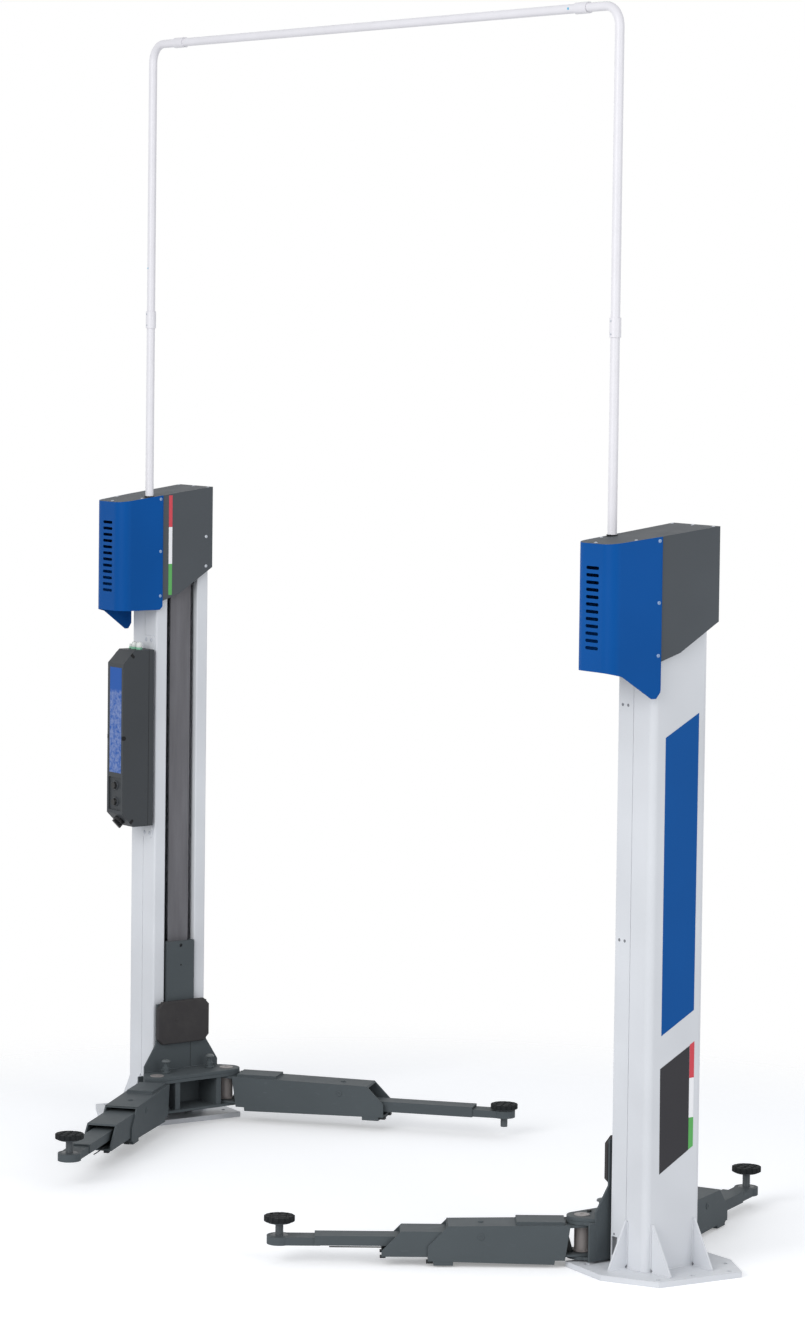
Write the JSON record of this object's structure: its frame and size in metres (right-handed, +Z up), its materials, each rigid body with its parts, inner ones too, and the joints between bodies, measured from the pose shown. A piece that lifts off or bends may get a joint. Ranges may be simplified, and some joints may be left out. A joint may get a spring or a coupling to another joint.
{
  "type": "two post car lift",
  "caption": "Two floor-standing posts with screw-driven carriages, telescopic swing arms with rubber pads, top motor housings and an overhead conduit that joins the posts",
  "frame": {"origin": "on the floor, midway between the two posts", "axes": "+Z up, X from post to post (control box post on the -X side), -Y the front, where the motors hang"},
  "size_m": [3.53, 1.9898, 4.282],
  "materials": {
    "post_paint": "cool white gloss paint",
    "base_paint": "cool white gloss paint, scuffed",
    "cover_blue": "mid blue gloss paint",
    "housing_grey": "dark grey satin paint",
    "arm_grey": "dark grey satin paint",
    "band_grey": "grey woven band",
    "screw_steel": "oiled steel",
    "motor_cast": "cast, dark grey",
    "pin_steel": "zinc plated",
    "lock_black": "black",
    "box_grey": "dark grey satin paint",
    "pipe_white": "white plastic",
    "rubber_black": "moulded",
    "door_rubber": "moulded, dusty",
    "button_black": "black",
    "gland_plastic": "white plastic"
  },
  "bodies": {
    "frame": {"left_base_plate": "base_paint", "left_post": "post_paint", "left_gussets": "base_paint", "left_slot_band": "band_grey", "left_lift_screw": "screw_steel", "left_motor_cover": "cover_blue", "left_motor_housing": "housing_grey", "left_motor_deck": "housing_grey", "left_drive_motor": "motor_cast", "left_riser_pipe": "pipe_white", "left_pipe_grommet": "rubber_black", "left_riser_sleeve": "pipe_white", "left_cross_sleeve": "pipe_white", "right_base_plate": "base_paint", "right_post": "post_paint", "right_gussets": "base_paint", "right_slot_band": "band_grey", "right_lift_screw": "screw_steel", "right_motor_cover": "cover_blue", "right_motor_housing": "housing_grey", "right_motor_deck": "housing_grey", "right_drive_motor": "motor_cast", "right_riser_pipe": "pipe_white", "right_pipe_grommet": "rubber_black", "right_riser_sleeve": "pipe_white", "right_cross_sleeve": "pipe_white", "cross_pipe": "pipe_white", "control_box": "box_grey", "control_box_bracket": "post_paint", "control_buttons": "button_black", "isolator_switch": "button_black", "cable_glands": "gland_plastic"},
    "left_lift_carriage": {"left_carriage": "arm_grey", "left_door_pad": "door_rubber", "left_arm_pins": "pin_steel", "left_arm_locks": "lock_black"},
    "left_front_swing_arm": {"left_front_outer_arm": "arm_grey"},
    "left_front_middle_stage": {"left_front_middle_arm": "arm_grey"},
    "left_front_inner_stage": {"left_front_inner_arm": "arm_grey"},
    "left_front_screw_pad": {"left_front_pad_stem": "screw_steel", "left_front_rubber_pad": "rubber_black"},
    "left_rear_swing_arm": {"left_rear_outer_arm": "arm_grey"},
    "left_rear_inner_stage": {"left_rear_inner_arm": "arm_grey"},
    "left_rear_screw_pad": {"left_rear_pad_stem": "screw_steel", "left_rear_rubber_pad": "rubber_black"},
    "right_lift_carriage": {"right_carriage": "arm_grey", "right_door_pad": "door_rubber", "right_arm_pins": "pin_steel", "right_arm_locks": "lock_black"},
    "right_front_swing_arm": {"right_front_outer_arm": "arm_grey"},
    "right_front_middle_stage": {"right_front_middle_arm": "arm_grey"},
    "right_front_inner_stage": {"right_front_inner_arm": "arm_grey"},
    "right_front_screw_pad": {"right_front_pad_stem": "screw_steel", "right_front_rubber_pad": "rubber_black"},
    "right_rear_swing_arm": {"right_rear_outer_arm": "arm_grey"},
    "right_rear_inner_stage": {"right_rear_inner_arm": "arm_grey"},
    "right_rear_screw_pad": {"right_rear_pad_stem": "screw_steel", "right_rear_rubber_pad": "rubber_black"}
  },
  "joints": [
    {"name": "left_lift", "type": "slide", "parent": "frame", "child": "left_lift_carriage", "axis": [0, 0, 1], "range_m": [0, 1.5]},
    {"name": "left_front_swing", "type": "hinge", "parent": "left_lift_carriage", "child": "left_front_swing_arm", "pos_m": [-1.319, -0.165, 0.127], "axis": [0, 0, 1], "range_deg": [-39.5, 30.5]},
    {"name": "left_front_middle_slide", "type": "slide", "parent": "left_front_swing_arm", "child": "left_front_middle_stage", "axis": [0.6361, -0.7716, 0], "range_m": [-0.222, 0.038]},
    {"name": "left_front_inner_slide", "type": "slide", "parent": "left_front_middle_stage", "child": "left_front_inner_stage", "axis": [0.6361, -0.7716, 0], "range_m": [-0.198, 0.102]},
    {"name": "left_front_pad_screw", "type": "slide", "parent": "left_front_inner_stage", "child": "left_front_screw_pad", "axis": [0, 0, 1], "range_m": [-0.047, 0.004]},
    {"name": "left_rear_swing", "type": "hinge", "parent": "left_lift_carriage", "child": "left_rear_swing_arm", "pos_m": [-1.319, 0.165, 0.127], "axis": [0, 0, 1], "range_deg": [-19, 51]},
    {"name": "left_rear_inner_slide", "type": "slide", "parent": "left_rear_swing_arm", "child": "left_rear_inner_stage", "axis": [0.7771, 0.6293, 0], "range_m": [-0.395, 0.02]},
    {"name": "left_rear_pad_screw", "type": "slide", "parent": "left_rear_inner_stage", "child": "left_rear_screw_pad", "axis": [0, 0, 1], "range_m": [0, 0.051]},
    {"name": "right_lift", "type": "slide", "parent": "frame", "child": "right_lift_carriage", "axis": [0, 0, 1], "range_m": [0, 1.5]},
    {"name": "right_front_swing", "type": "hinge", "parent": "right_lift_carriage", "child": "right_front_swing_arm", "pos_m": [1.319, -0.165, 0.09], "axis": [0, 0, 1], "range_deg": [-34, 36]},
    {"name": "right_front_middle_slide", "type": "slide", "parent": "right_front_swing_arm", "child": "right_front_middle_stage", "axis": [-0.5878, -0.809, 0], "range_m": [-0.142, 0.118]},
    {"name": "right_front_inner_slide", "type": "slide", "parent": "right_front_middle_stage", "child": "right_front_inner_stage", "axis": [-0.5878, -0.809, 0], "range_m": [-0.228, 0.072]},
    {"name": "right_front_pad_screw", "type": "slide", "parent": "right_front_inner_stage", "child": "right_front_screw_pad", "axis": [0, 0, 1], "range_m": [-0.043, 0.008]},
    {"name": "right_rear_swing", "type": "hinge", "parent": "right_lift_carriage", "child": "right_rear_swing_arm", "pos_m": [1.319, 0.165, 0.09], "axis": [0, 0, 1], "range_deg": [-25, 45]},
    {"name": "right_rear_inner_slide", "type": "slide", "parent": "right_rear_swing_arm", "child": "right_rear_inner_stage", "axis": [-0.4226, 0.9063, 0], "range_m": [-0.05, 0.175]},
    {"name": "right_rear_pad_screw", "type": "slide", "parent": "right_rear_inner_stage", "child": "right_rear_screw_pad", "axis": [0, 0, 1], "range_m": [-0.051, 0]}
  ],
  "couplings": [
    {"joint": "right_lift", "follows": "left_lift", "ratio": 1}
  ]
}
